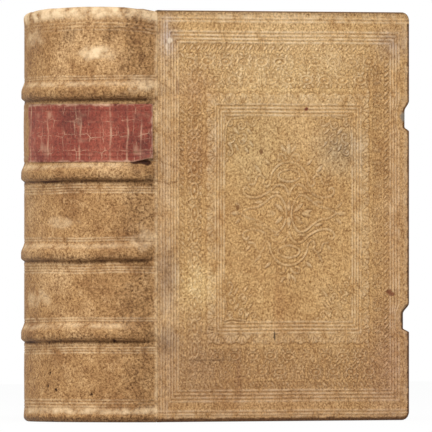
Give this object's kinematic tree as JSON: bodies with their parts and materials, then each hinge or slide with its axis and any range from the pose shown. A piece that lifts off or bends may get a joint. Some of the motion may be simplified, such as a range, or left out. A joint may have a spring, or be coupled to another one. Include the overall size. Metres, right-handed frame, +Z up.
{
  "type": "antique leather book",
  "caption": "Thick old quarto book in tooled tan leather over wooden boards, with a rounded spine, raised bands, a blank red spine label and covers that open.",
  "frame": {"origin": "middle of the book's bounding box, on the plane of the tail edges that it stands on", "axes": "+Z up towards the head, spine at -X and fore-edge at +X, front cover facing -Y, back cover facing +Y"},
  "size_m": [0.1972, 0.0966, 0.2079],
  "materials": {
    "page_edges": "matte",
    "endpaper": "matte",
    "board_wood": "matte",
    "tan_leather": "satin",
    "red_leather": "satin",
    "lining": "matte",
    "cord": "matte",
    "peg_wood": "matte",
    "endband_thread": "matte"
  },
  "bodies": {
    "text_block_and_spine": {"text_block": "page_edges", "front_flyleaf": "endpaper", "back_flyleaf": "endpaper", "spine_lining_1": "lining", "spine_lining_2": "lining", "spine_lining_3": "lining", "spine_lining_4": "lining", "spine_lining_5": "lining", "band_cord_1": "cord", "band_cord_2": "cord", "band_cord_3": "cord", "band_cord_4": "cord", "head_endband": "endband_thread", "tail_endband": "endband_thread", "spine_leather": "tan_leather", "title_label": "red_leather"},
    "front_cover": {"front_board": "board_wood", "front_cover_leather": "tan_leather", "front_pastedown": "endpaper", "front_slip_1": "cord", "front_slip_2": "cord", "front_slip_3": "cord", "front_slip_4": "cord", "front_peg_1": "peg_wood", "front_peg_2": "peg_wood", "front_peg_3": "peg_wood", "front_peg_4": "peg_wood"},
    "back_cover": {"back_board": "board_wood", "back_cover_leather": "tan_leather", "back_pastedown": "endpaper", "back_slip_1": "cord", "back_slip_2": "cord", "back_slip_3": "cord", "back_slip_4": "cord", "back_peg_1": "peg_wood", "back_peg_2": "peg_wood", "back_peg_3": "peg_wood", "back_peg_4": "peg_wood"}
  },
  "joints": [
    {"name": "front_cover_hinge", "type": "hinge", "parent": "text_block_and_spine", "child": "front_cover", "pos_m": [-0.06186, -0.04825, 0.103], "axis": [0, 0, -1], "range_deg": [0, 140]},
    {"name": "back_cover_hinge", "type": "hinge", "parent": "text_block_and_spine", "child": "back_cover", "pos_m": [-0.06186, 0.04825, 0.103], "axis": [0, 0, 1], "range_deg": [0, 140]}
  ]
}
